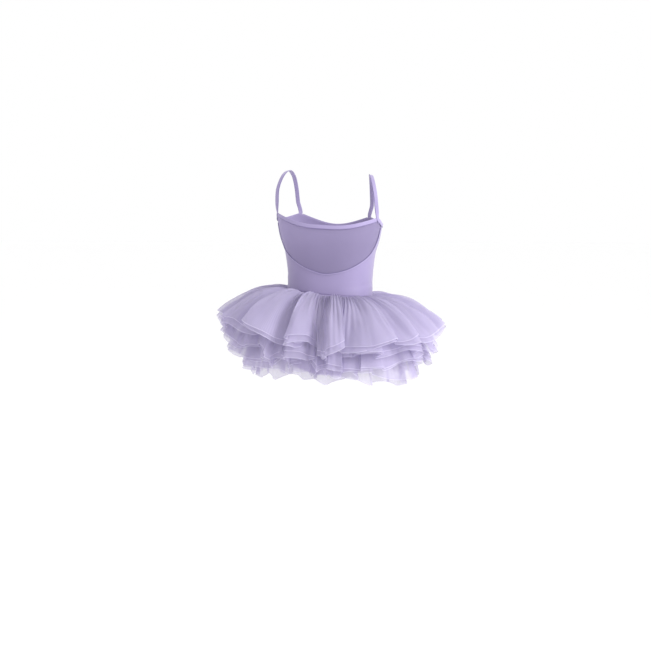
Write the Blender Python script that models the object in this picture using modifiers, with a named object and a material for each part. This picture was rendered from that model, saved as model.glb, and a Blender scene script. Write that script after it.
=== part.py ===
"""A child's ballet dress as it is worn: a camisole bodice with a sheer back inset, a full-seat brief
and a tutu skirt of five gathered tulle layers. Metres, +Z up, +Y towards the wearer's front, +X to
the wearer's right. The origin is midway between the tops of the two straps, where shoulders hold it.

Every piece of cloth lies on one general figure. A place on it is a turn, in degrees round the figure
from the middle of the back towards the wearer's right, and a height.
"""

import bpy
import numpy as np

# Cloth and trim, in metres.
JERSEY_THICK = 0.0012
NET_THICK = 0.0010
TULLE_THICK = 0.0011
BINDING_WIDE = 0.0092
BINDING_THICK = 0.0016
SEAM_GAP = 0.0003
LAP_GAP = 0.0006  # under what is sewn onto a panel

# Where the pieces meet, in metres of height and degrees of turn.
WAIST_SEAM = -0.2645
WAIST_DIP = 0.0030  # how much lower the waist seam runs at the middle of the back
SIDE_SEAM = 100.0
BACK_CORNER = 72.0
NECK_RISE = 3.5  # the back neck stays low in the middle and rises by this power near its corners
FRONT_CORNER = 131.5
BACK_NECK_MIDDLE = -0.1150
FRONT_NECK_MIDDLE = -0.1140
INSET_SIDE = 85.0
GAP_TURN = 0.25  # half the gap at the inset's corners
SEAM_TURN = 0.1  # half the gap of a side seam
BACK_BINDING_STOP = 4.4  # how far the neck bindings stop short of the strap corners
FRONT_BINDING_STOP = 3.6

# The outline of a level cut through the figure: 2 is an ellipse, and more is squarer.
SQUARENESS = 2.4

# The figure, a row for each level: half its width and depth, how far its middle lies forward, and
# how much a level line drops for each metre towards the wearer's right as the wearer leans.
FIGURE = np.array(
    [
        (-0.480, 0.112, 0.098, -0.004, 0.034),
        (-0.400, 0.113, 0.099, -0.005, 0.040),
        (-0.350, 0.110, 0.096, -0.005, 0.048),
        (-0.310, 0.102, 0.089, -0.002, 0.064),
        (-0.270, 0.094, 0.083, 0.002, 0.090),
        (-0.235, 0.093, 0.081, 0.004, 0.085),
        (-0.200, 0.096, 0.083, 0.003, 0.072),
        (-0.170, 0.101, 0.085, 0.001, 0.060),
        (-0.145, 0.109, 0.087, 0.000, 0.054),
        (-0.122, 0.1138, 0.087, 0.000, 0.052),
        (-0.095, 0.1175, 0.085, 0.000, 0.052),
        (-0.040, 0.118, 0.080, 0.000, 0.055),
        (0.010, 0.115, 0.070, 0.000, 0.055),
    ],
    dtype=[(name, float) for name in ("height", "half_width", "half_depth", "forward", "lean")],
)

# The armhole's upper edge, from the back strap corner under the arm to the front strap corner.
ARMHOLE = np.array(
    [
        (72.0, -0.0925),
        (76.0, -0.0962),
        (80.5, -0.1000),
        (86.0, -0.1036),
        (96.0, -0.1062),
        (108.0, -0.1052),
        (120.0, -0.1005),
        (131.5, -0.0930),
    ],
    dtype=[("turn", float), ("height", float)],
)

# The lower seam of the sheer back inset, from the middle of the back to its side.
INSET_SEAM = np.array(
    [
        (-15.0, -0.2190),
        (0.0, -0.2225),
        (15.0, -0.2190),
        (32.0, -0.2105),
        (45.0, -0.2000),
        (55.0, -0.1900),
        (64.0, -0.1805),
        (72.0, -0.1700),
        (78.0, -0.1550),
        (82.0, -0.1350),
        (85.0, -0.1125),
    ],
    dtype=[("turn", float), ("height", float)],
)

# The right strap over the shoulder, from the back corner to the front one: its place, and how much
# further out the raised arm pushes the left strap.
STRAP = np.array(
    [
        (0.1110, -0.0450, -0.0740, 0.0005),
        (0.1080, -0.0460, -0.0420, 0.0015),
        (0.1010, -0.0330, -0.0140, 0.0005),
        (0.0920, 0.0000, 0.0000, 0.001),
        (0.0880, 0.0350, -0.0120, 0.000),
        (0.0860, 0.0580, -0.0390, 0.000),
        (0.0850, 0.0700, -0.0670, 0.000),
    ],
    dtype=[(name, float) for name in ("across", "forward", "height", "push")],
)
STRAP_CORE = (0.8, 0.0, -0.090)  # the strap faces away from this share of its own x, this y and z

# The brief's lower edge on the wearer's right, a row for each place from the middle of the back,
# under the figure and round the leg to the side. Tuck is how far its cloth turns in there: 0 hangs
# straight down and 1 runs level under the figure.
BACK_HEM = np.array(
    [
        (0.000, 0.0000, -0.4520, 1.00, 0.0),
        (0.020, 0.0000, -0.4520, 1.00, 12.0),
        (0.024, -0.0300, -0.4490, 0.85, 20.0),
        (0.038, -0.0620, -0.4410, 0.60, 30.0),
        (0.062, -0.0800, -0.4300, 0.35, 44.0),
        (0.088, -0.0640, -0.4140, 0.22, 62.0),
        (0.106, -0.0280, -0.3960, 0.12, 82.0),
        (0.1105, 0.0140, -0.3850, 0.08, 100.0),
    ],
    dtype=[(name, float) for name in ("across", "forward", "height", "tuck", "turn")],
)
FRONT_HEM = np.array(
    [
        (0.000, 0.0000, -0.4520, 1.00, 180.0),
        (0.020, 0.0000, -0.4520, 1.00, 170.0),
        (0.026, 0.0320, -0.4450, 0.80, 163.0),
        (0.042, 0.0600, -0.4300, 0.50, 154.0),
        (0.066, 0.0740, -0.4120, 0.28, 140.0),
        (0.090, 0.0600, -0.3980, 0.16, 123.0),
        (0.1105, 0.0140, -0.3850, 0.08, 100.0),
    ],
    dtype=[(name, float) for name in ("across", "forward", "height", "tuck", "turn")],
)
BRIEF_SIDE = -0.345  # below this height the brief's cloth leaves the figure for its hem
BETWEEN_LEGS = 0.9  # a tuck above this is on the seam between the legs
LEG_DRAW = 1.5  # how strongly the hem draws in under the side of the figure, for each metre across

# The tulle layers from the top: how far below the waist seam each is sewn to the brief, then for its
# sides, and again for its back and front, how far the hem stands out from the figure, the hem's
# height, and the pitch at which the layer sets off and arrives there, in degrees above level. Fold
# is half the height of the big folds at the hem, and phase turns them round the skirt.
TULLE = np.array(
    [
        (0.0025, 0.156, -0.333, 16.0, -42.0, 0.118, -0.374, 4.0, -62.0, 0.0110, 0.0),
        (0.0095, 0.129, -0.383, -4.0, -60.0, 0.107, -0.401, -14.0, -66.0, 0.0085, 0.7),
        (0.0165, 0.114, -0.414, -20.0, -70.0, 0.095, -0.422, -28.0, -72.0, 0.0075, 1.5),
        (0.0235, 0.093, -0.438, -34.0, -76.0, 0.080, -0.438, -40.0, -76.0, 0.0065, 2.2),
        (0.0305, 0.068, -0.450, -50.0, -80.0, 0.060, -0.449, -54.0, -80.0, 0.0055, 3.0),
    ],
    dtype=[
        (name, float)
        for name in (
            "root",
            "side_out",
            "side_hem",
            "side_start",
            "side_end",
            "back_out",
            "back_hem",
            "back_start",
            "back_end",
            "fold",
            "phase",
        )
    ],
)
FOLDS = 13  # big folds round each layer
FOLD_DRIFT = 0.9  # how unevenly the folds are spaced, in radians
FOLD_CHANGE = 0.2  # how unevenly deep they are, as a share
FOLD_GROWTH = 0.8  # the power of the way down a layer by which its folds deepen
ROOT_STAND = 0.0011  # from the brief's outside to the middle of a layer's gathered edge
CURVE_HOLD = 0.36  # how long a layer keeps its first and last pitch, as a share of its reach

# How finely each piece is drawn.
PANEL_COLUMNS = 27
INSET_COLUMNS = 25
PANEL_ROWS = 4
BRIEF_COLUMNS = 22
BRIEF_ROWS = 6
BINDING_STATIONS = 20
ARMHOLE_STATIONS = 15
STRAP_STATIONS = 44
TULLE_COLUMNS = 66
TULLE_ROWS = 3

LAVENDER = (0.456, 0.397, 0.658, 1.0)
DEEPER_LAVENDER = (0.420, 0.360, 0.650, 1.0)
SHEER_LAVENDER = (0.397, 0.337, 0.552, 1.0)
PALE_LAVENDER = (0.530, 0.470, 0.720, 1.0)


def smooth(at, places, values):
    """Values on a smooth curve through (places, values), by cubic pieces with shared slopes."""
    slopes = np.gradient(values, places)
    i = np.clip(np.searchsorted(places, at, side="right") - 1, 0, len(places) - 2)
    wide = places[i + 1] - places[i]
    t = np.clip((at - places[i]) / wide, 0.0, 1.0)
    start = (1 + 2 * t) * (1 - t) ** 2 * values[i] + t * (1 - t) ** 2 * wide * slopes[i]
    end = t**2 * (3 - 2 * t) * values[i + 1] - t**2 * (1 - t) * wide * slopes[i + 1]
    return start + end


def unit(vectors):
    return vectors / np.linalg.norm(vectors, axis=-1, keepdims=True)


def distance_along(points):
    """The distance of each point from the first, along the broken line through them."""
    return np.concatenate([[0.0], np.cumsum(np.linalg.norm(np.diff(points, axis=0), axis=1))])


def level(height, column):
    """A column of the figure's table at any height."""
    heights = FIGURE["height"]
    return smooth(np.clip(height, heights[0], heights[-1]), heights, FIGURE[column])


def on_figure(turn, height):
    """Points of the figure at these turns and heights, as an array of x, y and z."""
    angle = np.radians(turn)
    wide, deep = level(height, "half_width"), level(height, "half_depth")
    east, south = np.sin(angle), -np.cos(angle)
    reach = (np.abs(east / wide) ** SQUARENESS + np.abs(south / deep) ** SQUARENESS) ** (-1 / SQUARENESS)
    return np.stack([reach * east, reach * south + level(height, "forward"), height + 0.0 * reach], axis=-1)


def facing(turn, height):
    """The direction in which the figure faces at these turns and heights."""
    round_it = on_figure(turn + 0.5, height) - on_figure(turn - 0.5, height)
    up_it = on_figure(turn, height + 0.001) - on_figure(turn, height - 0.001)
    return unit(np.cross(round_it, up_it))


def leaning(points):
    """The points with the wearer's lean: level lines drop towards the wearer's right."""
    leant = points.copy()
    leant[..., 2] -= points[..., 0] * level(points[..., 2], "lean")
    return leant


def edge(turn):
    """The height of the bodice's finished upper edge at any turn, the same on both sides."""
    turn = np.abs((np.asarray(turn, float) + 180.0) % 360.0 - 180.0)
    back = np.sin(np.radians(turn)) / np.sin(np.radians(BACK_CORNER))
    front = np.sin(np.radians(turn)) / np.sin(np.radians(FRONT_CORNER))
    back_neck = BACK_NECK_MIDDLE + (ARMHOLE["height"][0] - BACK_NECK_MIDDLE) * back**NECK_RISE
    front_neck = FRONT_NECK_MIDDLE + (ARMHOLE["height"][-1] - FRONT_NECK_MIDDLE) * front**2
    armhole = smooth(turn, ARMHOLE["turn"], ARMHOLE["height"])
    return np.where(turn < BACK_CORNER, back_neck, np.where(turn > FRONT_CORNER, front_neck, armhole))


def waist_seam(turn):
    """The height of the waist seam at any turn, level but for the dip at the back."""
    return WAIST_SEAM - WAIST_DIP * np.maximum(np.cos(np.radians(turn)), 0.0) ** 2


def inset_seam(turn):
    """The height of the lower seam of the sheer inset, the same on both sides."""
    return smooth(np.abs(turn), INSET_SEAM["turn"], INSET_SEAM["height"])


def material(name, colour, roughness):
    made = bpy.data.materials.new(name)
    made.use_nodes = True
    shader = made.node_tree.nodes["Principled BSDF"]
    shader.inputs["Base Color"].default_value = colour
    shader.inputs["Roughness"].default_value = roughness
    shader.inputs["Metallic"].default_value = 0.0
    return made


def cloth(name, grid, thick, offset, finish, closed=False):
    """A wall of cloth: the surface through a grid of points, rows by columns, given its thickness.

    Offset 1 puts all of the thickness outside the grid, and 0 puts half on each side."""
    rows, columns = grid.shape[:2]
    number = np.arange(rows * columns).reshape(rows, columns)
    after = np.roll(number, -1, axis=1) if closed else number[:, 1:]
    here = number if closed else number[:, :-1]
    faces = np.stack([here[:-1], after[:-1], after[1:], here[1:]], axis=-1).reshape(-1, 4)
    mesh = bpy.data.meshes.new(name)
    mesh.from_pydata(leaning(grid).reshape(-1, 3).tolist(), [], faces.tolist())
    mesh.materials.append(finish)
    mesh.shade_smooth()
    piece = bpy.data.objects.new(name, mesh)
    DRESS.objects.link(piece)
    wall = piece.modifiers.new("thickness", "SOLIDIFY")
    wall.thickness = thick
    wall.offset = offset
    return piece


def between(lower, upper, rows, out=0.0):
    """The grid of points on the figure between two lines, each an array of turns and heights."""
    share = np.linspace(0.0, 1.0, rows + 1)[:, None, None]
    places = lower[None] * (1 - share) + upper[None] * share
    turn, height = places[..., 0], places[..., 1]
    return on_figure(turn, height) + out * facing(turn, height)


def line(turns, heights):
    return np.stack(np.broadcast_arrays(np.asarray(turns, float), heights), axis=-1)


def bodice_front():
    turns = np.linspace(SIDE_SEAM + SEAM_TURN, 360.0 - SIDE_SEAM - SEAM_TURN, PANEL_COLUMNS)
    top = edge(turns) - BINDING_WIDE / 2
    grid = between(line(turns, waist_seam(turns)), line(turns, top), PANEL_ROWS)
    return cloth("bodice_front", grid, JERSEY_THICK, 1.0, LYCRA)


def inset_turns():
    """The turns of the inset's columns, evenly spaced along its lower seam."""
    turns = np.linspace(-INSET_SIDE, INSET_SIDE, 341)
    far = distance_along(on_figure(turns, inset_seam(turns)))
    return np.interp(np.linspace(0.0, far[-1], INSET_COLUMNS), far, turns)


def bodice_back():
    """The opaque lower back. Its upper line follows the armhole to the inset, then the inset's seam."""
    turns = inset_turns()
    under_arm = np.linspace(INSET_SIDE + 2 * GAP_TURN, SIDE_SEAM - SEAM_TURN, 4)
    armhole = line(under_arm, edge(under_arm) - BINDING_WIDE / 2)
    seam = line(turns, inset_seam(turns) - 0.75 * SEAM_GAP)
    upper = np.concatenate([armhole[::-1] * (-1.0, 1.0), seam, armhole])
    lower = line(upper[:, 0], waist_seam(upper[:, 0]))
    return cloth("bodice_back", between(lower, upper, PANEL_ROWS), JERSEY_THICK, 1.0, LYCRA)


def back_inset():
    turns = inset_turns()
    lower = line(turns, inset_seam(turns) + 0.75 * SEAM_GAP)
    upper = line(turns, edge(turns) - BINDING_WIDE / 2)
    return cloth("back_inset", between(lower, upper, PANEL_ROWS), NET_THICK, 1.0, NET)


def neck_binding(name, middle, half_turn):
    """The binding strip over the neck edge, outside the panel that it finishes."""
    turns = np.linspace(middle - half_turn, middle + half_turn, BINDING_STATIONS)
    top = edge(turns)
    grid = between(line(turns, top - BINDING_WIDE), line(turns, top), 1, JERSEY_THICK + LAP_GAP)
    return cloth(name, grid, BINDING_THICK, 1.0, BINDING)


def strap_line(side):
    """The middle of one strap and its armhole binding, one closed strip: its points and facings."""
    turns = np.linspace(FRONT_CORNER - 1.0, BACK_CORNER + 1.0, ARMHOLE_STATIONS)
    low = edge(turns) - BINDING_WIDE / 2
    outward = facing(turns, low)
    armhole = on_figure(turns, low) + (JERSEY_THICK + LAP_GAP) * outward
    push = STRAP["push"] * (side < 0)
    over = np.stack([STRAP["across"] + push, STRAP["forward"], STRAP["height"]], axis=-1)
    away = over * (1 - STRAP_CORE[0], 1.0, 1.0) - (0.0, STRAP_CORE[1], STRAP_CORE[2])
    points = np.concatenate([armhole, over])
    faced = np.concatenate([outward, unit(away)])
    return points * (side, 1.0, 1.0), faced * (side, 1.0, 1.0)


def resampled(points, faced, count):
    """A closed line drawn again with evenly spaced points on a smooth curve, with its facings."""
    lap = 3
    wrap = np.arange(-lap, len(points) + lap) % len(points)
    far = distance_along(points[wrap])
    at = np.linspace(far[lap], far[lap + len(points)], count, endpoint=False)
    drawn = np.stack([smooth(at, far, points[wrap][:, k]) for k in range(3)], axis=-1)
    turned = np.stack([smooth(at, far, faced[wrap][:, k]) for k in range(3)], axis=-1)
    return drawn, unit(turned)


def strap(name, side):
    """A flat strip, swept along the closed strap line with its broad face on the wearer."""
    points, faced = resampled(*strap_line(side), STRAP_STATIONS)
    ahead = np.roll(points, -1, axis=0) - np.roll(points, 1, axis=0)
    across = unit(np.cross(ahead, faced)) * side * BINDING_WIDE / 2
    grid = np.stack([points - across, points + across])
    return cloth(name, grid[:, :: -int(side)], BINDING_THICK, 1.0, BINDING, closed=True)


def hem_line(table, count):
    """The brief's lower edge from the wearer's right round to the left, evenly spaced, column by column."""
    right = np.stack([table[name] for name in table.dtype.names], axis=-1)[::-1]
    middle = table["turn"][0]
    left = right[::-1][1:] * (-1.0, 1.0, 1.0, 1.0, 1.0)
    left[:, 4] = 2 * middle - right[::-1][1:, 4]
    whole = np.concatenate([right, left])
    far = distance_along(whole[:, :3])
    at = np.linspace(0.0, far[-1], count)
    return np.stack([smooth(at, far, whole[:, k]) for k in range(5)], axis=-1)


def brief(name, table, seam_side):
    """One half of the brief. Each column follows the figure down and then curves in to the hem."""
    hem = hem_line(table, BRIEF_COLUMNS + 1)
    turns = hem[:, 4]
    turns[[0, -1]] += np.array([-SEAM_TURN, SEAM_TURN]) * seam_side
    top = waist_seam(turns) - 2 * SEAM_GAP
    upper = between(line(turns, top), line(turns, BRIEF_SIDE), PANEL_ROWS)
    start = upper[-1]
    pace = unit(start - upper[-2])
    end, tuck = hem[:, :3].copy(), hem[:, 3]
    behind = -seam_side * end[:, 1]
    behind = np.where(tuck > BETWEEN_LEGS, np.maximum(behind, 0.0), behind)
    end[:, 1] = -seam_side * (behind + SEAM_GAP / 2)
    inward = np.stack([-LEG_DRAW * end[:, 0], np.full(len(end), seam_side), 0.0 * tuck], axis=-1)
    heading = unit(inward * tuck[:, None] + (1 - tuck[:, None]) * (0.0, 0.0, -1.0))
    hold = np.linalg.norm(end - start, axis=1)[:, None]
    rows = []
    for share in np.linspace(0.0, 1.0, BRIEF_ROWS)[1:]:
        rows.append(
            start * (1 + 2 * share) * (1 - share) ** 2
            + end * share**2 * (3 - 2 * share)
            + hold * pace * share * (1 - share) ** 2
            - hold * heading * share**2 * (1 - share)
        )
    grid = np.concatenate([upper, np.stack(rows)])[:, :: int(seam_side)]
    return cloth(name, grid, JERSEY_THICK, 1.0, LYCRA)


def folds(turn, phase):
    """The layer's big folds round the skirt, from -1 to 1, unevenly spaced and unevenly deep."""
    angle = np.radians(turn)
    wave = np.sin(FOLDS * angle + phase + FOLD_DRIFT * np.sin(2 * angle + 2 * phase))
    return wave * (1 - FOLD_CHANGE + FOLD_CHANGE * np.sin(3 * angle + 5 * phase))


def tulle_layer(number, row):
    """A gathered layer: in the plane that faces out at each turn, a curve from the root to the hem,
    which keeps its first and last pitch, with the big folds as ridges and troughs that grow outwards."""
    turns = np.linspace(0.0, 360.0, TULLE_COLUMNS, endpoint=False)
    at_side = np.sin(np.radians(turns)) ** 2
    out, hem, start, end = (
        at_side * row["side_" + name] + (1 - at_side) * row["back_" + name]
        for name in ("out", "hem", "start", "end")
    )
    sewn = waist_seam(turns) - row["root"]
    drop = hem - sewn
    hold = CURVE_HOLD * np.hypot(out, drop)
    start, end = np.radians(start), np.radians(end)
    outward = facing(turns, sewn) * (1.0, 1.0, 0.0)
    root = on_figure(turns, sewn) + (JERSEY_THICK + ROOT_STAND) * outward
    share = np.linspace(0.0, 1.0, TULLE_ROWS + 1)[:, None]
    bends = [3 * (1 - share) ** 2 * share, 3 * (1 - share) * share**2, share**3]
    far = bends[0] * hold * np.cos(start) + bends[1] * (out - hold * np.cos(end)) + bends[2] * out
    rise = bends[0] * hold * np.sin(start) + bends[1] * (drop - hold * np.sin(end)) + bends[2] * drop
    pitch = (1 - share) * start + share * end
    ridge = row["fold"] * share**FOLD_GROWTH * folds(turns, row["phase"])
    far = far - ridge * np.sin(pitch)
    rise = rise + ridge * np.cos(pitch)
    grid = root + outward * far[..., None]
    grid[..., 2] += rise
    return cloth(f"tulle_layer_{number}", grid[::-1], TULLE_THICK, 0.0, TULLE_FINISH, closed=True)


for old in list(bpy.data.objects):
    bpy.data.objects.remove(old)

DRESS = bpy.data.collections.new("ballet_dress")
bpy.context.scene.collection.children.link(DRESS)
LYCRA = material("lavender_lycra", LAVENDER, 0.55)
NET = material("sheer_power_net", SHEER_LAVENDER, 0.60)
BINDING = material("lycra_binding", DEEPER_LAVENDER, 0.50)
TULLE_FINISH = material("pale_tulle", PALE_LAVENDER, 0.70)

bodice_front()
bodice_back()
back_inset()
neck_binding("back_neck_binding", 0.0, BACK_CORNER - BACK_BINDING_STOP)
neck_binding("front_neck_binding", 180.0, 180.0 - FRONT_CORNER - FRONT_BINDING_STOP)
strap("strap_right", 1.0)
strap("strap_left", -1.0)
brief("brief_back", BACK_HEM, 1.0)
brief("brief_front", FRONT_HEM, -1.0)
for number, row in enumerate(TULLE, start=1):
    tulle_layer(number, row)
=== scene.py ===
"""The looks of a child's ballet dress as it is worn: a lavender jersey bodice with a sheer net inset in
the back, narrow bindings and straps, a jersey brief and a tutu skirt of gathered tulle.

Metres, +Z up, +Y towards the wearer's front, +X to the wearer's right. Every piece of cloth is a grid
worked out on one general figure. A place on the figure is a turn, in degrees round it from the middle
of the back towards the wearer's right, and a height. The tables repeat those of the part.
"""

import math

import bpy
import numpy as np
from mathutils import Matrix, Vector


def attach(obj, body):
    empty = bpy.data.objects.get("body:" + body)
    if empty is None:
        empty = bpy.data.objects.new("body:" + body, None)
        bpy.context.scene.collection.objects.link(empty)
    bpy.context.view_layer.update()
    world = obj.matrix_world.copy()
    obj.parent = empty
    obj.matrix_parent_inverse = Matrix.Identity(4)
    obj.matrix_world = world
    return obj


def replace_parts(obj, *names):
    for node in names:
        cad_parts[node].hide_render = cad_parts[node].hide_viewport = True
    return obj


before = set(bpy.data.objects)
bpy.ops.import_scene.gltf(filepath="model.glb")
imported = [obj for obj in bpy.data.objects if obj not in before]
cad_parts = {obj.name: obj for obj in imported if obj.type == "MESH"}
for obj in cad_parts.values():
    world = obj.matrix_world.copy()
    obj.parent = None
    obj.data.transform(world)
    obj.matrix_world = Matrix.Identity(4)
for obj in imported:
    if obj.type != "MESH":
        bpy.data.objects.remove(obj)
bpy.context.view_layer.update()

# Sizes in metres.
JERSEY_WALL = 0.0010
BINDING_WIDE = 0.0092
BINDING_HIGH = 0.0011
LAP = 0.0004
PIPING = 0.0010
EDGE_UNDER_BINDING = 0.0015
SEAM_GAP = 0.0002
CLOTH_LIFT = 0.0001
ROLL_DEEP = 0.0008
ROLL_WIDE = 0.0016
LEG_HEM = 0.0080

# Where the pieces meet, in metres of height and degrees of turn.
WAIST_SEAM = -0.2645
WAIST_DIP = 0.0030
SIDE_SEAM = 100.0
BACK_CORNER = 72.0
NECK_RISE = 3.5
FRONT_CORNER = 131.5
BACK_NECK_MIDDLE = -0.1150
FRONT_NECK_MIDDLE = -0.1140
INSET_SIDE = 85.0
SQUARENESS = 2.4


def table(names, *rows):
    """A short table with a name for each column."""
    return np.array(list(rows), dtype=[(name, float) for name in names.split()])


FIGURE = table(
    "height half_width half_depth forward lean",
    (-0.480, 0.112, 0.098, -0.004, 0.034),
    (-0.400, 0.113, 0.099, -0.005, 0.040),
    (-0.350, 0.110, 0.096, -0.005, 0.048),
    (-0.310, 0.102, 0.089, -0.002, 0.064),
    (-0.270, 0.094, 0.083, 0.002, 0.090),
    (-0.235, 0.093, 0.081, 0.004, 0.085),
    (-0.200, 0.096, 0.083, 0.003, 0.072),
    (-0.170, 0.101, 0.085, 0.001, 0.060),
    (-0.145, 0.109, 0.087, 0.000, 0.054),
    (-0.122, 0.1138, 0.087, 0.000, 0.052),
    (-0.095, 0.1175, 0.085, 0.000, 0.052),
    (-0.040, 0.118, 0.080, 0.000, 0.055),
    (0.010, 0.115, 0.070, 0.000, 0.055),
)
ARMHOLE = table(
    "turn height",
    (72.0, -0.0925), (76.0, -0.0962), (80.5, -0.1000), (86.0, -0.1036),
    (96.0, -0.1062), (108.0, -0.1052), (120.0, -0.1005), (131.5, -0.0930),
)
INSET_SEAM = table(
    "turn height",
    (-15.0, -0.2190), (0.0, -0.2225), (15.0, -0.2190), (32.0, -0.2105), (45.0, -0.2000), (55.0, -0.1900),
    (64.0, -0.1805), (72.0, -0.1700), (78.0, -0.1550), (82.0, -0.1350), (85.0, -0.1125),
)
STRAP = table(
    "across forward height push",
    (0.1110, -0.0450, -0.0740, 0.0005),
    (0.1080, -0.0460, -0.0420, 0.0015),
    (0.1010, -0.0330, -0.0140, 0.0005),
    (0.0920, 0.0000, 0.0000, 0.001),
    (0.0880, 0.0350, -0.0120, 0.000),
    (0.0860, 0.0580, -0.0390, 0.000),
    (0.0850, 0.0700, -0.0670, 0.000),
)
STRAP_CORE = (0.8, 0.0, -0.090)
BACK_HEM = table(
    "across forward height tuck turn",
    (0.000, 0.0000, -0.4520, 1.00, 0.0),
    (0.020, 0.0000, -0.4520, 1.00, 12.0),
    (0.024, -0.0300, -0.4490, 0.85, 20.0),
    (0.038, -0.0620, -0.4410, 0.60, 30.0),
    (0.062, -0.0800, -0.4300, 0.35, 44.0),
    (0.088, -0.0640, -0.4140, 0.22, 62.0),
    (0.106, -0.0280, -0.3960, 0.12, 82.0),
    (0.1105, 0.0140, -0.3850, 0.08, 100.0),
)
FRONT_HEM = table(
    "across forward height tuck turn",
    (0.000, 0.0000, -0.4520, 1.00, 180.0),
    (0.020, 0.0000, -0.4520, 1.00, 170.0),
    (0.026, 0.0320, -0.4450, 0.80, 163.0),
    (0.042, 0.0600, -0.4300, 0.50, 154.0),
    (0.066, 0.0740, -0.4120, 0.28, 140.0),
    (0.090, 0.0600, -0.3980, 0.16, 123.0),
    (0.1105, 0.0140, -0.3850, 0.08, 100.0),
)
BRIEF_SIDE = -0.345

# The sheets of tulle from the top. Node is the layer that a sheet belongs to. Sewn is how far below
# the waist seam it is gathered. Then, for the sides and again for the back and front: how far the hem
# stands out from the figure, its height, and the pitch at which the sheet sets off and arrives there,
# in degrees above level. Folds are the big folds round it and deep is half their height at the hem.
# Sheets with the same pattern are two plies gathered as one, whose folds nest.
TULLE = table(
    "node sewn side_out side_hem side_start side_end back_out back_hem back_start back_end"
    " folds deep pattern",
    (1, 0.0015, 0.151, -0.333, 6.0, -44.0, 0.112, -0.364, 4.0, -66.0, 18, 0.0180, 0),
    (1, 0.0040, 0.153, -0.343, 0.0, -47.0, 0.113, -0.374, -3.0, -67.0, 18, 0.0165, 0),
    (2, 0.0085, 0.136, -0.368, -4.0, -57.0, 0.108, -0.393, -14.0, -68.0, 15, 0.0150, 1),
    (2, 0.0110, 0.137, -0.377, -9.0, -59.0, 0.108, -0.401, -19.0, -69.0, 15, 0.0140, 1),
    (3, 0.0160, 0.117, -0.404, -20.0, -68.0, 0.098, -0.416, -28.0, -71.0, 17, 0.0130, 2),
    (3, 0.0180, 0.116, -0.412, -25.0, -70.0, 0.096, -0.424, -33.0, -72.0, 17, 0.0120, 2),
    (4, 0.0235, 0.094, -0.437, -36.0, -76.0, 0.080, -0.438, -42.0, -76.0, 16, 0.0110, 3),
    (5, 0.0305, 0.068, -0.450, -52.0, -80.0, 0.060, -0.449, -56.0, -80.0, 15, 0.0090, 4),
)
# The ridges of the uppermost sheets' big folds: the turn of each, how deep and how long it is beside
# the others, how far it leans towards a greater turn, as a share of the fold, how far it curls over
# itself on both sides, how square it is, and how much one side of its hem hangs lower. Valleys are
# less deep than ridges by the share below.
TOP_RIDGES = table(
    "turn size long lean curl square skew",
    (-84, 0.80, 1.00, -0.40, 0.10, 1.2, 0.00),
    (-60, 0.85, 0.98, -0.70, 0.15, 2.2, 0.04),
    (-38, 1.55, 0.94, -1.90, 0.30, 3.0, -0.10),
    (-14, 1.40, 1.04, -2.00, 0.45, 2.6, 0.10),
    (18, 1.15, 1.12, 1.70, 0.20, 3.0, 0.09),
    (43, 0.60, 1.10, 0.60, 0.15, 2.0, 0.03),
    (58, 0.60, 1.08, 0.80, 0.10, 1.6, 0.04),
    (73, 0.65, 1.05, 0.80, 0.15, 2.2, 0.03),
    (88, 0.80, 0.97, 0.60, 0.20, 1.5, 0.02),
    (105, 0.90, 0.97, 0.40, 0.40, 1.3, -0.04),
    (125, 1.00, 1.02, -0.80, 0.40, 2.5, 0.05),
    (147, 0.80, 0.97, 0.90, 0.30, 1.9, 0.04),
    (168, 1.05, 1.03, -0.90, 0.35, 2.5, -0.06),
    (187, 0.80, 0.97, 0.70, 0.40, 1.3, 0.05),
    (207, 1.10, 1.01, -1.00, 0.30, 2.4, -0.05),
    (230, 0.85, 0.98, 0.80, 0.30, 1.6, 0.06),
    (252, 1.00, 1.02, -0.60, 0.30, 1.9, -0.04),
)
VALLEY = 0.3
CURVE_HOLD = 0.36
ROOT_STAND = 0.0022
HEM_LEAN = 0.050
FIRST_TURN = -90.0
FLOOR = -1.0

SHEET_COLUMNS = 1400
SHEET_ROWS = 30


def smooth(at, places, values):
    """Values on a smooth curve through (places, values), by cubic pieces with shared slopes."""
    slopes = np.gradient(values, places)
    i = np.clip(np.searchsorted(places, at, side="right") - 1, 0, len(places) - 2)
    wide = places[i + 1] - places[i]
    t = np.clip((at - places[i]) / wide, 0.0, 1.0)
    start = (1 + 2 * t) * (1 - t) ** 2 * values[i] + t * (1 - t) ** 2 * wide * slopes[i]
    end = t**2 * (3 - 2 * t) * values[i + 1] - t**2 * (1 - t) * wide * slopes[i + 1]
    return start + end


def unit(vectors):
    """Each vector divided by its length."""
    return vectors / np.maximum(np.linalg.norm(vectors, axis=-1, keepdims=True), 1e-12)


def distance_along(points):
    """The distance of each point from the first, along the broken line through them."""
    return np.concatenate([[0.0], np.cumsum(np.linalg.norm(np.diff(points, axis=0), axis=1))])


def level(height, column):
    """A column of the figure's table at any height."""
    heights = FIGURE["height"]
    return smooth(np.clip(height, heights[0], heights[-1]), heights, FIGURE[column])


def on_figure(turn, height):
    """Points of the figure: at each level a superellipse |x/w|^n + |y/d|^n = 1 of the table's half
    width w and half depth d, its middle moved forward."""
    angle = np.radians(turn)
    wide, deep = level(height, "half_width"), level(height, "half_depth")
    east, south = np.sin(angle), -np.cos(angle)
    reach = (np.abs(east / wide) ** SQUARENESS + np.abs(south / deep) ** SQUARENESS) ** (-1 / SQUARENESS)
    return np.stack([reach * east, reach * south + level(height, "forward"), height + 0.0 * reach], axis=-1)


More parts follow.
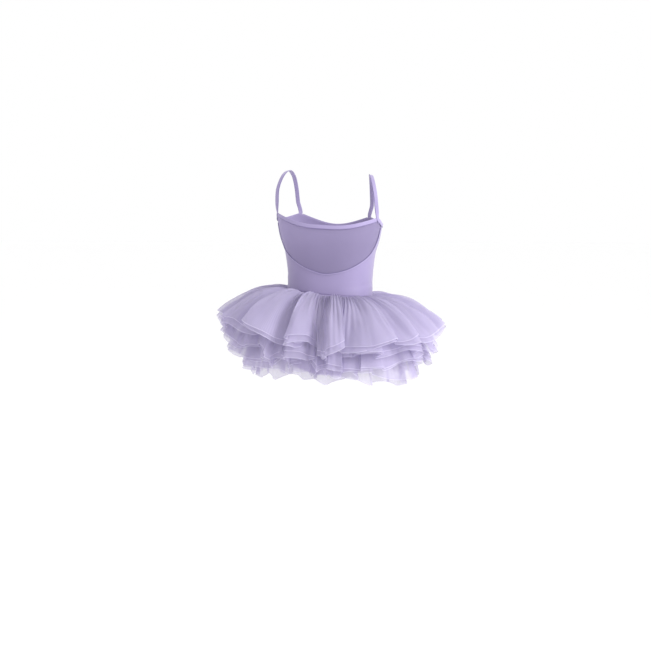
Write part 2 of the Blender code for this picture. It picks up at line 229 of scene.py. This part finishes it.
def facing(turn, height):
    """The direction in which the figure faces: the cross product of its slopes in turn and height."""
    round_it = on_figure(turn + 0.5, height) - on_figure(turn - 0.5, height)
    up_it = on_figure(turn, height + 0.001) - on_figure(turn, height - 0.001)
    return unit(np.cross(round_it, up_it))


def leaning(points):
    """The points with the wearer's lean: each drops by its x times the lean of its level."""
    leant = points.copy()
    leant[..., 2] -= points[..., 0] * level(points[..., 2], "lean")
    return leant


def edge(turn):
    """The height of the bodice's upper edge: a scoop in sin(turn) to the power 3.5 at the back, one in
    sin(turn) squared at the front, and the armhole's table between."""
    turn = np.abs((np.asarray(turn, float) + 180.0) % 360.0 - 180.0)
    back = np.sin(np.radians(turn)) / np.sin(np.radians(BACK_CORNER))
    front = np.sin(np.radians(turn)) / np.sin(np.radians(FRONT_CORNER))
    back_neck = BACK_NECK_MIDDLE + (ARMHOLE["height"][0] - BACK_NECK_MIDDLE) * back**NECK_RISE
    front_neck = FRONT_NECK_MIDDLE + (ARMHOLE["height"][-1] - FRONT_NECK_MIDDLE) * front**2
    armhole = smooth(turn, ARMHOLE["turn"], ARMHOLE["height"])
    return np.where(turn < BACK_CORNER, back_neck, np.where(turn > FRONT_CORNER, front_neck, armhole))


def waist_seam(turn):
    """The height of the waist seam: level, but lower by a dip in cos(turn) squared at the back."""
    return WAIST_SEAM - WAIST_DIP * np.maximum(np.cos(np.radians(turn)), 0.0) ** 2


def inset_seam(turn):
    """The height of the inset's lower seam, on a smooth curve through its table, the same on both sides."""
    return smooth(np.abs(turn), INSET_SEAM["turn"], INSET_SEAM["height"])


def ripple(at, counts, sizes, seed):
    """A wave that repeats each time at grows by 1: the sum of size x sin(2 pi count at + its own phase)."""
    phases = np.random.default_rng(seed).uniform(0.0, 2 * np.pi, len(counts))
    return sum(s * np.sin(2 * np.pi * c * at + p) for c, s, p in zip(counts, sizes, phases))


def surface(name, grid, finish, uv=None, closed=False, wall=0.0):
    """A mesh through a grid of points, rows by columns, with a UV map in metres of cloth.

    Closed joins the last column to the first. Wall gives it a thickness on the side it faces."""
    rows, columns = grid.shape[:2]
    number = np.arange(rows * columns).reshape(rows, columns)
    after = np.roll(number, -1, axis=1) if closed else number[:, 1:]
    here = number if closed else number[:, :-1]
    faces = np.stack([here[:-1], after[:-1], after[1:], here[1:]], axis=-1).reshape(-1, 4)
    mesh = bpy.data.meshes.new(name)
    mesh.vertices.add(rows * columns)
    mesh.vertices.foreach_set("co", grid.reshape(-1).astype(np.float32))
    mesh.loops.add(faces.size)
    mesh.loops.foreach_set("vertex_index", faces.reshape(-1).astype(np.int32))
    mesh.polygons.add(len(faces))
    mesh.polygons.foreach_set("loop_start", np.arange(0, faces.size, 4, dtype=np.int32))
    mesh.update(calc_edges=True)
    if uv is None:
        across = np.linalg.norm(np.diff(grid, axis=1), axis=-1).mean(0)
        down = np.linalg.norm(np.diff(grid, axis=0), axis=-1).mean(1)
        u = np.concatenate([[0.0], np.cumsum(across)])
        v = np.concatenate([[0.0], np.cumsum(down)])
        uv = np.stack(np.meshgrid(u, v), axis=-1)
    step = uv[:, -1:] - uv[:, -2:-1]
    wide = np.concatenate([uv, uv[:, -1:] + step], axis=1) if closed else uv
    corners = np.stack([wide[:-1, :-1], wide[:-1, 1:], wide[1:, 1:], wide[1:, :-1]], axis=2)
    mesh.uv_layers.new(name="cloth").data.foreach_set("uv", corners.reshape(-1).astype(np.float32))
    mesh.shade_smooth()
    mesh.materials.append(finish)
    piece = bpy.data.objects.new(name, mesh)
    bpy.context.scene.collection.objects.link(piece)
    if wall:
        thick = piece.modifiers.new("thickness", "SOLIDIFY")
        thick.thickness, thick.offset = wall, 1.0
    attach(piece, "root")
    return piece


# Materials


def linear(code):
    """A colour from its sRGB hex code, as linear red, green, blue and 1."""
    parts = [int(code[i : i + 2], 16) / 255 for i in (1, 3, 5)]
    return [c / 12.92 if c <= 0.04045 else ((c + 0.055) / 1.055) ** 2.4 for c in parts] + [1.0]


def add(tree, kind, links=None, **settings):
    """Adds a node of a kind, sets its properties and inputs, and links sockets into it.

    A setting that names an input sets that input's value. Links go from input name to socket."""
    node = tree.nodes.new(kind)
    for key, value in settings.items():
        if hasattr(node, key):
            setattr(node, key, value)
    for key, value in settings.items():
        if not hasattr(node, key):
            spot = int(key[1:]) if key[0] == "i" and key[1:].isdigit() else key.replace("_", " ")
            node.inputs[spot].default_value = value
    for key, socket in (links or {}).items():
        tree.links.new(socket, node.inputs[key])
    return node


def finish(name, **settings):
    """A material with its Principled shader's sockets set by name: its tree, shader and itself."""
    made = bpy.data.materials.new(name)
    made.use_nodes = True
    shader = made.node_tree.nodes["Principled BSDF"]
    for key, value in settings.items():
        shader.inputs[key.replace("_", " ")].default_value = value
    return made.node_tree, shader, made


def waves_of(tree, spots, directions, pitch):
    """The sum of one cosine wave for each direction across the cloth, each of that pitch in metres."""
    total = None
    for east, north in directions:
        dot = add(tree, "ShaderNodeVectorMath", {0: spots}, operation="DOT_PRODUCT",
                  i1=(east * 2 * math.pi / pitch, north * 2 * math.pi / pitch, 0.0))
        wave = add(tree, "ShaderNodeMath", {0: dot.outputs["Value"]}, operation="COSINE")
        if total is None:
            total = wave
        else:
            both = {0: total.outputs[0], 1: wave.outputs[0]}
            total = add(tree, "ShaderNodeMath", both, operation="ADD")
    return total.outputs[0]


def jersey(name, code, deep_code, rough):
    """Polyamide and elastane jersey, warp knitted and brushed: it gives the eye a smooth matte satin with
    a soft bright edge where it turns away, and fine upright wales. Real wales are 0.5 mm apart, too fine
    to show, so they are drawn 1.8 mm apart and faint."""
    tree, shader, made = finish(name, Roughness=rough, IOR=1.45, Specular_IOR_Level=0.35,
                                Sheen_Weight=0.35, Sheen_Roughness=0.45, Sheen_Tint=linear("#F4F0FA"))
    spots = add(tree, "ShaderNodeUVMap", uv_map="cloth").outputs["UV"]
    places = add(tree, "ShaderNodeTexCoord").outputs["Object"]
    cloud = add(tree, "ShaderNodeTexNoise", {"Vector": places}, Scale=14.0, Detail=3.0, Roughness=0.5)
    mix = add(tree, "ShaderNodeMix", {"Factor": cloud.outputs["Fac"]}, data_type="RGBA")
    mix.inputs[6].default_value, mix.inputs[7].default_value = linear(deep_code), linear(code)
    tree.links.new(mix.outputs[2], shader.inputs["Base Color"])
    wales = waves_of(tree, spots, [(1.0, 0.0)], 0.0018)
    fuzz = add(tree, "ShaderNodeTexNoise", {"Vector": places}, Scale=900.0, Detail=1.0)
    high = add(tree, "ShaderNodeMath", {0: wales, 2: fuzz.outputs["Fac"]}, operation="MULTIPLY_ADD", i1=0.35)
    bump = add(tree, "ShaderNodeBump", {"Height": high.outputs[0]}, Strength=0.12, Distance=0.0004)
    tree.links.new(bump.outputs["Normal"], shader.inputs["Normal"])
    return made


HEX_WAYS = [(1.0, 0.0), (0.5, 0.866), (-0.5, 0.866)]


def net(name, code, hem_highlight_code, pitch, thin, thick, glow):
    """Polyamide net of six-sided holes: the sum of three cosine waves at 60 degrees is high on a lattice
    of spots, the holes, and low along the threads between. Thin and thick are how much of the light a
    hole and a thread stop, and glow is the share of it that a thread passes on, scattered. It gives the
    eye a soft matte veil, denser where it overlaps. Along its cut hem, where the map's height is 0, it
    has a painted highlight: a line painted paler and a little denser."""
    tree, shader, made = finish(name, Roughness=0.6, IOR=1.45, Specular_IOR_Level=0.25,
                                Sheen_Weight=0.15, Sheen_Roughness=0.5, Sheen_Tint=linear("#F4F0FA"))
    spots = add(tree, "ShaderNodeUVMap", uv_map="cloth").outputs["UV"]
    holes = waves_of(tree, spots, HEX_WAYS, pitch)
    veil = add(tree, "ShaderNodeMapRange", {"Value": holes})
    height = add(tree, "ShaderNodeSeparateXYZ", {"Vector": spots}).outputs["Y"]
    # Painted highlight: 0 from 2 mm above the hem, rising to 1 at 0.8 mm above it and on to the hem, where it
    # makes the net paler and denser.
    hem_highlight = add(tree, "ShaderNodeMapRange", {"Value": height})
    for node, values in ((veil, (-1.5, 1.6, thick, thin)), (hem_highlight, (-0.0020, -0.0008, 0.0, 1.0))):
        for spot, value in zip(("From Min", "From Max", "To Min", "To Max"), values):
            node.inputs[spot].default_value = value
    paint = add(tree, "ShaderNodeMix", {"Factor": hem_highlight.outputs[0]}, data_type="RGBA")
    paint.inputs[6].default_value, paint.inputs[7].default_value = linear(code), linear(hem_highlight_code)
    tree.links.new(paint.outputs[2], shader.inputs["Base Color"])
    passed = add(tree, "ShaderNodeBsdfTranslucent", {"Color": paint.outputs[2]})
    threads = add(tree, "ShaderNodeMixShader", {1: shader.outputs[0], 2: passed.outputs[0]}, i0=glow)
    stopped = add(tree, "ShaderNodeMath", {0: hem_highlight.outputs[0], 2: veil.outputs[0]}, operation="MULTIPLY_ADD",
                  i1=0.13)
    clear = add(tree, "ShaderNodeBsdfTransparent")
    parts = {0: stopped.outputs[0], 1: clear.outputs[0], 2: threads.outputs[0]}
    whole = add(tree, "ShaderNodeMixShader", parts)
    tree.links.new(whole.outputs[0], tree.nodes["Material Output"].inputs["Surface"])
    return made


def thread(name, code, deep_code):
    """Two-ply polyester sewing thread: it gives the eye a dull line with slanting plies, 0.7 mm a turn."""
    tree, shader, made = finish(name, Roughness=0.6, IOR=1.5, Sheen_Weight=0.2)
    plies = waves_of(tree, add(tree, "ShaderNodeUVMap", uv_map="cloth").outputs["UV"], [(0.8, 0.6)], 0.0007)
    mix = add(tree, "ShaderNodeMix", {"Factor": plies}, data_type="RGBA")
    mix.inputs[6].default_value, mix.inputs[7].default_value = linear(deep_code), linear(code)
    tree.links.new(mix.outputs[2], shader.inputs["Base Color"])
    bump = add(tree, "ShaderNodeBump", {"Height": plies}, Strength=0.4, Distance=0.0001)
    tree.links.new(bump.outputs["Normal"], shader.inputs["Normal"])
    return made


LYCRA = jersey("brushed_elastane_jersey", "#958AB0", "#8F84AA", 0.5)
# The binding is the bodice's jersey, given a little paler than it: the paler tone is painted highlight, for
# the lit side of the piping and of the bindings.
BINDING_PAINTED_HIGHLIGHT = jersey("folded_jersey_binding_painted_highlight", "#9E93BA", "#988DB4", 0.48)
# Both nets are drawn at their real pitch, and their holes and threads closer in tone than real ones, so
# that they don't beat against the picture's own grid.
POWER_NET = net("stretch_power_net", "#958BAE", "#958BAE", 0.0013, 0.58, 0.66, 0.2)
# The tulle's second colour, #D2CBE4, is a painted highlight along its cut hem.
TULLE_NET = net("soft_nylon_tulle", "#C4BCD9", "#D2CBE4", 0.0016, 0.47, 0.55, 0.25)
# The thread's dark tone is partly its own and partly painted shade: it stands for the shadow in each stitched
# groove and in the ditch beside the inset's piping.
THREAD_AND_SEAM_SHADE = thread("polyester_thread_and_painted_seam_shade", "#6A5E92", "#584C80")


# The bodice and the brief

STRETCH = 1.08


def stretched(piece, grid, *pieces):
    """Prints the cut of a stretched panel. It was cut as wide as its widest row, less its stretch round the
    figure, and as long as its longest column. The area is that of the grid's quads, less the same."""
    across = np.linalg.norm(np.diff(grid, axis=1), axis=-1)
    down = np.linalg.norm(np.diff(grid, axis=0), axis=-1)
    wide, long = float(across.sum(1).max()) / STRETCH, float(down.sum(0).max())
    sides = np.cross(grid[1:, 1:] - grid[:-1, :-1], grid[:-1, 1:] - grid[1:, :-1])
    area = float(np.linalg.norm(sides, axis=-1).sum()) / 2 / STRETCH
    print(piece.name, "cut", round(wide, 3), "x", round(long, 3), "area", round(area, 4))
    area = min(area, wide * long)


def between(lower, upper, rows):
    """The grid of points on the figure between two lines of turns and heights, with its turns and heights."""
    share = np.linspace(0.0, 1.0, rows + 1)[:, None, None]
    places = lower[None] * (1 - share) + upper[None] * share
    turn, height = places[..., 0], places[..., 1]
    return on_figure(turn, height), turn, height


def line(turns, heights):
    """A line on the figure, as pairs of turn and height."""
    return np.stack(np.broadcast_arrays(np.asarray(turns, float), heights), axis=-1)


def rolled_in(grid, sides):
    """How far a panel dips at its seams: 0.8 mm at an edge, fading as exp(-(distance / 1.6 mm)^2)."""
    down = np.zeros(grid.shape[:2])
    for side in sides:
        if side in ("top", "bottom"):
            border = grid[-1:] if side == "top" else grid[:1]
        else:
            border = grid[:, :1] if side == "first" else grid[:, -1:]
        down = np.maximum(down, np.exp(-((np.linalg.norm(grid - border, axis=-1) / ROLL_WIDE) ** 2)))
    return -ROLL_DEEP * down


def stretched_folds(turn, height, seed):
    """The slight drag lines of a worn stretch bodice: low waves that run nearly level, up to 0.5 mm,
    strongest at the sides just above the waist, and small upright puckers over the gathered seam."""
    above = height - waist_seam(turn)
    side = np.abs(np.sin(np.radians(turn))) ** 3
    slant = above * 24.0 + 0.18 * np.sin(np.radians(turn * 3.0 + seed)) + turn / 360.0
    drag = ripple(slant, (1, 2, 3), (0.00035, 0.00022, 0.00012), seed)
    drag = drag * side * np.exp(-((above - 0.018) / 0.022) ** 2)
    around = turn / 360.0
    pucker = ripple(around, (71, 97, 131), (0.00016, 0.00014, 0.00010), seed + 1) * np.exp(-above / 0.007)
    return drag + pucker


def panel(name, lower, upper, rows, finish_of, sides, seed, wall=JERSEY_WALL):
    """A panel between two lines on the figure, with its seams and folds, and its grid."""
    grid, turn, height = between(lower, upper, rows)
    out = stretched_folds(turn, height, seed) + rolled_in(grid, sides)
    grid = grid + (out + CLOTH_LIFT)[..., None] * facing(turn, height)
    return surface(name, leaning(grid), finish_of, wall=wall), leaning(grid)


turns = np.linspace(SIDE_SEAM + 0.1, 360.0 - SIDE_SEAM - 0.1, 180)
bodice_front, front_grid = panel(
    "front_panel", line(turns, waist_seam(turns)), line(turns, edge(turns) - EDGE_UNDER_BINDING), 64,
    LYCRA, ("bottom", "first", "last"), 5,
)
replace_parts(bodice_front, "bodice_front")

inset_turns = np.linspace(-INSET_SIDE, INSET_SIDE, 1001)
inset_far = distance_along(on_figure(inset_turns, inset_seam(inset_turns)))
inset_turns = np.interp(np.linspace(0.0, inset_far[-1], 200), inset_far, inset_turns)
under_arm = np.linspace(INSET_SIDE + 0.3, SIDE_SEAM - 0.1, 16)
armhole = line(under_arm, edge(under_arm) - EDGE_UNDER_BINDING)
seam_line = line(inset_turns, inset_seam(inset_turns) - SEAM_GAP)
upper = np.concatenate([armhole[::-1] * (-1.0, 1.0), seam_line, armhole])
bodice_back, back_grid = panel(
    "lower_back_panel", line(upper[:, 0], waist_seam(upper[:, 0])), upper, 60,
    LYCRA, ("bottom", "first", "last"), 9,
)
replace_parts(bodice_back, "bodice_back")

back_inset, inset_grid = panel(
    "sheer_back_inset", line(inset_turns, inset_seam(inset_turns) + SEAM_GAP),
    line(inset_turns, edge(inset_turns) - EDGE_UNDER_BINDING), 50,
    POWER_NET, (), 13, wall=0.0,
)
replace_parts(back_inset, "back_inset")


def swept(points, faced, profile, closed):
    """The grid of a profile carried along a path. The profile's first number runs across the path, to the
    left of its travel as seen from outside, and its second outwards."""
    if closed:
        ahead = np.roll(points, -1, axis=0) - np.roll(points, 1, axis=0)
    else:
        ahead = np.gradient(points, axis=0)
    ahead = unit(ahead)
    across = unit(np.cross(faced, ahead))
    out = unit(np.cross(ahead, across))
    return (points[None] + profile[:, 0, None, None] * across[None] + profile[:, 1, None, None] * out[None])


def strip_profile(wide, high, count=20):
    """A flat strip's closed outline: the superellipse |x/(w/2)|^4 + |y/(h/2)|^4 = 1, standing on zero, with
    a slight crown, so that its edges look folded and rounded."""
    angle = np.linspace(0.0, 2 * np.pi, count)
    east, north = np.cos(angle), np.sin(angle)
    reach = (np.abs(east) ** 4 + np.abs(north) ** 4) ** -0.25
    return np.stack([reach * east * wide / 2, reach * north * high / 2 + high / 2], axis=-1)


def neck_line(middle, half_turn, count):
    """The middle of a neck binding, half its width below the edge and just off the cloth, and its facings."""
    turns = np.linspace(middle - half_turn, middle + half_turn, count)
    low = edge(turns) - BINDING_WIDE / 2
    return on_figure(turns, low) + (JERSEY_WALL + LAP) * facing(turns, low), facing(turns, low)


def tube(name, points, faced, profile, finish_of, slot, closed=False):
    """A profile swept along a line as one closed skin: its ends, if it has any, shrink to a point."""
    grid = swept(points, faced, profile, closed)
    if not closed:
        ends = [grid[:-1, :1].mean(0, keepdims=True), grid[:-1, -1:].mean(0, keepdims=True)]
        first, last = (np.repeat(end, len(grid), 0) for end in ends)
        grid = np.concatenate([first, grid, last], axis=1)
    return surface(name, leaning(grid), finish_of, closed=closed)


def closed_line(points, faced, count):
    """A closed line drawn again with evenly spaced points on a smooth curve, with its facings."""
    lap = 3
    wrap = np.arange(-lap, len(points) + lap) % len(points)
    far = distance_along(points[wrap])
    at = np.linspace(far[lap], far[lap + len(points)], count, endpoint=False)
    drawn = np.stack([smooth(at, far, points[wrap][:, k]) for k in range(3)], axis=-1)
    turned = np.stack([smooth(at, far, faced[wrap][:, k]) for k in range(3)], axis=-1)
    return drawn, unit(turned)


def strap_line(side, count):
    """The middle of one strap and its armhole binding, as the part has it: the armhole's edge from front
    to back, then the strap's table over the shoulder. The strap faces away from a line through the arm."""
    turns = np.linspace(FRONT_CORNER - 1.0, BACK_CORNER + 1.0, 15)
    low = edge(turns) - BINDING_WIDE / 2
    outward = facing(turns, low)
    armhole = on_figure(turns, low) + (JERSEY_WALL + LAP) * outward
    push = STRAP["push"] * (side < 0)
    over = np.stack([STRAP["across"] + push, STRAP["forward"], STRAP["height"]], axis=-1)
    away = over * (1 - STRAP_CORE[0], 1.0, 1.0) - (0.0, STRAP_CORE[1], STRAP_CORE[2])
    points = np.concatenate([armhole, over])
    faced = np.concatenate([outward, unit(away)])
    points, faced = closed_line(points, faced, count)
    return points * (side, 1.0, 1.0), faced * (side, 1.0, 1.0)


STITCH = 0.0025
STITCH_LINE = 0.0038


def stitches(name, points, faced, across, out):
    """A row of stitches along a line: a thread 0.9 mm wide that sinks at the end of every stitch, as its
    size follows 0.35 + 0.65 sqrt(|sin(pi x distance / stitch)|). Across and out place it beside the line."""
    far = distance_along(points)
    at = np.linspace(0.0, far[-1], int(far[-1] / STITCH * 5))
    points = np.stack([np.interp(at, far, points[:, k]) for k in range(3)], axis=-1)
    faced = unit(np.stack([np.interp(at, far, faced[:, k]) for k in range(3)], axis=-1))
    beat = 0.35 + 0.65 * np.sqrt(np.abs(np.sin(np.pi * at / STITCH)))
    row = swept(points, faced, np.array([(across, out)]), False)
    shape = strip_profile(0.0009, 0.0005, 7) + (across, out - 0.00025)
    grid = row + (swept(points, faced, shape, False) - row) * beat[None, :, None]
    return surface(name, leaning(grid), THREAD_AND_SEAM_SHADE)


binding_shape = strip_profile(BINDING_WIDE, BINDING_HIGH)
edging = {}
for name, middle, half in (("back", 0.0, BACK_CORNER - 2.2), ("front", 180.0, 180.0 - FRONT_CORNER - 2.6)):
    piece = tube(f"{name}_neck_edge", *neck_line(middle, half, 140), binding_shape, BINDING_PAINTED_HIGHLIGHT, "lycra_binding")
    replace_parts(piece, f"{name}_neck_binding")
    row = stitches(f"{name}_neck_stitches", *neck_line(middle, half, 140), -STITCH_LINE, BINDING_HIGH)
    edging[name] = [piece, row]
for name, side in (("right", 1.0), ("left", -1.0)):
    points, faced = strap_line(side, 300)
    shape = binding_shape * (side, 1.0)
    piece = tube(f"{name}_strap", points, faced, shape, BINDING_PAINTED_HIGHLIGHT, "lycra_binding", closed=True)
    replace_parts(piece, f"strap_{name}")
    row = stitches(f"{name}_strap_stitches", points, faced, side * STITCH_LINE, BINDING_HIGH)
    edging["front"] += [piece, row]

seam_turns = inset_turns[2:-2]
seam_faced = facing(seam_turns, inset_seam(seam_turns))
seam_points = on_figure(seam_turns, inset_seam(seam_turns)) + 1.2 * PIPING * seam_faced
# The piping is drawn in the binding's paler colour as a painted highlight along the seam.
piping = tube("inset_seam_piping", seam_points, seam_faced,
              strip_profile(2.2 * PIPING, 1.3 * PIPING, 12) - (0.0007, 0.0), BINDING_PAINTED_HIGHLIGHT, "lycra_binding")
# A dark row beside the piping, partly real stitching and partly painted shade of the ditch above the piping.
row = stitches("inset_seam_stitches_and_painted_shade", seam_points, seam_faced, 0.0008, 0.0002)
stretched(bodice_front, front_grid, *edging["front"])
stretched(bodice_back, back_grid, piping, row)
stretched(back_inset, inset_grid, *edging["back"])


def hem_line(table_of, count):
    """The brief's lower edge from the wearer's right round to the left, evenly spaced."""
    right = np.stack([table_of[name] for name in table_of.dtype.names], axis=-1)[::-1]
    middle = table_of["turn"][0]
    left = right[::-1][1:] * (-1.0, 1.0, 1.0, 1.0, 1.0)
    left[:, 4] = 2 * middle - right[::-1][1:, 4]
    whole = np.concatenate([right, left])
    far = distance_along(whole[:, :3])
    at = np.linspace(0.0, far[-1], count)
    return np.stack([smooth(at, far, whole[:, k]) for k in range(5)], axis=-1)


def brief(name, table_of, seam_side):
    """One half of the brief. Each column follows the figure down, then a cubic that keeps its direction
    there and arrives at the hem by its tuck: 0 straight down, 1 level under the figure."""
    hem = hem_line(table_of, 180)
    turns = hem[:, 4]
    turns[[0, -1]] += np.array([-0.1, 0.1]) * seam_side
    upper, turn, height = between(line(turns, waist_seam(turns) - 0.0004), line(turns, BRIEF_SIDE), 24)
    start = upper[-1]
    pace = unit(start - upper[-2])
    end, tuck = hem[:, :3].copy(), hem[:, 3]
    behind = -seam_side * end[:, 1]
    behind = np.where(tuck > 0.9, np.maximum(behind, 0.0), behind)
    end[:, 1] = -seam_side * (behind + 0.0001)
    inward = np.stack([-1.5 * end[:, 0], np.full(len(end), seam_side), 0.0 * tuck], axis=-1)
    heading = unit(inward * tuck[:, None] + (1 - tuck[:, None]) * (0.0, 0.0, -1.0))
    hold = np.linalg.norm(end - start, axis=1)[:, None]
    share = np.linspace(0.0, 1.0, 50)[1:, None, None]
    lower = (start * (1 + 2 * share) * (1 - share) ** 2 + end * share**2 * (3 - 2 * share)
             + hold * pace * share * (1 - share) ** 2 - hold * heading * share**2 * (1 - share))
    whole = np.concatenate([upper, lower])
    grid = whole[:, :: int(seam_side)]
    piece = surface(name, leaning(grid), LYCRA, wall=JERSEY_WALL)
    near = unit(whole[-2] - whole[-1])
    faced = unit(np.cross(np.gradient(whole[-1], axis=0), near)) * seam_side
    hem = whole[-1] + LEG_HEM * near
    row = stitches(name.replace("panel", "hem_stitches"), hem[3:-3], faced[3:-3], 0.0, JERSEY_WALL + 0.0002)
    stretched(piece, leaning(grid), row)
    return piece


for name, table_of, seam_side in (("back", BACK_HEM, 1.0), ("front", FRONT_HEM, -1.0)):
    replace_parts(brief(f"{name}_brief_panel", table_of, seam_side), f"brief_{name}")


# The skirt


def ridges_of(row):
    """The ridges of a sheet's big folds: the table's for the uppermost, and for the others the same
    columns drawn at random about even spacing, with the pattern's number as the seed."""
    if row["pattern"] == 0:
        return TOP_RIDGES
    draw, count = np.random.default_rng(100 + int(row["pattern"])), int(row["folds"])
    turns = (np.arange(count) + draw.uniform(-0.35, 0.35, count)) * 360.0 / count + FIRST_TURN
    ranges = ((0.6, 1.5), (0.93, 1.07), (-1.5, 1.5), (0.1, 0.5), (1.5, 4.0), (-0.09, 0.09))
    columns = [turns] + [draw.uniform(least, most, count) for least, most in ranges]
    return table("turn size long lean curl square skew", *map(tuple, np.transpose(columns)))


def round_it(turn, ridges, values, lap):
    """Values given at the ridges, on a smooth curve that closes round the figure. Lap is how much they
    grow in one turn."""
    places = np.concatenate([ridges["turn"] + 360.0 * k for k in (-1, 0, 1, 2)])
    return smooth(turn, places, np.concatenate([values + lap * k for k in (-1, 0, 1, 2)]))


def tulle_sheet(number, row):
    """A gathered strip of tulle, over its turn and its share v of the way from seam to hem. In the plane
    that faces out at each turn a cubic goes from the seam to the hem and keeps its first and last pitch.
    On it lie, across the sheet,
    the big folds: deep x size x v^0.7 x tanh(square sin phi) / tanh(square), where phi grows by 2 pi
    from each ridge to the next,
    their overhang: phi shifts by lean x v sin phi - curl x v^0.8 sin 2 phi,
    their sway: the turn shifts by waves of a few degrees that grow as v^1.4,
    soft flutes and crumples, waves that run down and slantwise and deepen towards the hem,
    and the gathers at the seam, which fade as exp(-v / 0.4).
    The hem is cut a little uneven, and hangs lower on one side of a ridge, by skew x cos phi.
    The sheet leans with the waist at the seam and less towards the hem."""
    seed = 1000 + 10 * int(row["pattern"])
    ridges = ridges_of(row)
    count = len(ridges)
    u = np.linspace(0.0, 1.0, SHEET_COLUMNS, endpoint=False)[None, :]
    v = (np.linspace(0.0, 1.0, SHEET_ROWS + 1) ** 0.9)[:, None]
    turn = 360.0 * u + FIRST_TURN
    phi = round_it(turn, ridges, 2 * np.pi * np.arange(count), 2 * np.pi * count) + np.pi / 2
    size, long, lean, curl, square, skew = (
        round_it(turn, ridges, ridges[name], 0.0)
        for name in ("size", "long", "lean", "curl", "square", "skew")
    )
    wave = np.tanh(square * np.sin(phi)) / np.tanh(square)
    big = row["deep"] * size * v**0.7 * np.where(wave < 0, VALLEY * wave, wave)
    slide = lean * v * np.sin(phi) - curl * v**0.8 * np.sin(2 * phi)
    pace = np.gradient(turn[0]) / np.gradient(phi[0])
    sway = v**1.4 * ripple(u, (4, 7, 10), (2.2, 1.8, 1.4), seed)
    flute = v**1.5 * ripple(u, (31, 43, 57), (0.0013, 0.0011, 0.0008), seed + 1)
    crumple = v**0.6 * (ripple(u + 0.030 * v, (23, 37), (0.0016, 0.0013), seed + 2)
                        + ripple(u - 0.045 * v, (29, 41), (0.0014, 0.0011), seed + 5))
    small = ripple(u, (127, 157, 191), (0.0024, 0.0021, 0.0017), seed + 3)
    gather = v / (v + 0.04) * np.exp(-v / 0.4) * small
    high = big + flute + crumple + gather
    turn = turn + slide * pace + sway
    at_side = np.sin(np.radians(turn)) ** 2
    out, hem, start, end = (
        at_side * row["side_" + name] + (1 - at_side) * row["back_" + name]
        for name in ("out", "hem", "start", "end")
    )
    start, end = np.radians(start), np.radians(end)
    sewn = waist_seam(turn) - row["sewn"]
    uneven = 1.0 + skew * np.cos(phi) + ripple(u, (4, 9, 16, 29), (0.014, 0.013, 0.012, 0.008), seed + number)
    out, drop = out * uneven * (0.7 + 0.3 * long), (hem - sewn) * uneven * long
    hold = CURVE_HOLD * np.hypot(out, drop)
    outward = facing(turn, sewn) * (1.0, 1.0, 0.0)
    root = on_figure(turn, sewn) + ROOT_STAND * outward
    first, second, third = 3 * (1 - v) ** 2 * v, 3 * (1 - v) * v**2, v**3
    far = first * hold * np.cos(start) + second * (out - hold * np.cos(end)) + third * out
    rise = first * hold * np.sin(start) + second * (drop - hold * np.sin(end)) + third * drop
    pitch = (1 - v) * start + v * end
    far = np.maximum(far - high * np.sin(pitch), 0.0)
    grid = root + outward * far[..., None]
    slant = (1 - v**0.5) * level(sewn, "lean") + v**0.5 * HEM_LEAN
    grid[..., 2] += rise + high * np.cos(pitch) - grid[..., 0] * slant
    deep = float(np.mean(np.linalg.norm(np.diff(grid, axis=0), axis=-1).sum(0)))
    wide = float(np.linalg.norm(grid[-1] - np.roll(grid[-1], 1, axis=0), axis=-1).sum())
    uv = np.stack(np.broadcast_arrays(u * wide, (v - 1) * deep), axis=-1)
    piece = surface(f"tulle_sheet_{number}", grid[::-1], TULLE_NET, uv=uv[::-1], closed=True)
    print(piece.name, "cut", round(wide, 3), "x", round(deep, 3))
    return piece


for number, row in enumerate(TULLE, start=1):
    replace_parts(tulle_sheet(number, row), f"tulle_layer_{int(row['node'])}")


# The stage: a plain pale floor at the wearer's feet, soft light from above and the right.
floor_mesh = bpy.data.meshes.new("floor")
floor_corners = [(-40, -40, FLOOR), (40, -40, FLOOR), (40, 40, FLOOR), (-40, 40, FLOOR)]
floor_mesh.from_pydata(floor_corners, [], [(0, 1, 2, 3)])
floor_mesh.materials.append(finish("matte_white_floor", Base_Color=linear("#FFFFFF"), Roughness=0.9)[2])
floor = bpy.data.objects.new("floor", floor_mesh)
bpy.context.scene.collection.objects.link(floor)

world = bpy.data.worlds.new("studio")
bpy.context.scene.world = world
world.use_nodes = True
world.node_tree.nodes["Background"].inputs["Color"].default_value = (1.0, 1.0, 1.0, 1.0)
world.node_tree.nodes["Background"].inputs["Strength"].default_value = 1.0


def softbox(name, place, size, power, aim):
    """A square area light at a place, turned to face a point."""
    light = bpy.data.lights.new(name, "AREA")
    light.size, light.energy = size, power
    box = bpy.data.objects.new(name, light)
    bpy.context.scene.collection.objects.link(box)
    box.location = place
    box.rotation_mode = "QUATERNION"
    box.rotation_quaternion = (Vector(aim) - Vector(place)).to_track_quat("-Z", "Y")


softbox("key", (2.95, -1.25, 1.1), 1.5, 95.0, (0.0, 0.0, -0.25))

camera = bpy.data.cameras.new("camera")
camera.sensor_width, camera.lens = 36.0, 98.8
eye = bpy.data.objects.new("camera", camera)
bpy.context.scene.collection.objects.link(eye)
CAMERA_TURN, CAMERA_FAR, CAMERA_HEIGHT = math.radians(9.0), 4.0, -0.07
eye.location = (CAMERA_FAR * math.sin(CAMERA_TURN), -CAMERA_FAR * math.cos(CAMERA_TURN), CAMERA_HEIGHT)
eye.rotation_euler = (math.radians(90.0 - 3.876), 0.0, math.radians(9.144))
bpy.context.scene.camera = eye
bpy.context.scene.view_settings.view_transform = "Standard"
bpy.context.scene.cycles.transparent_max_bounces = 24
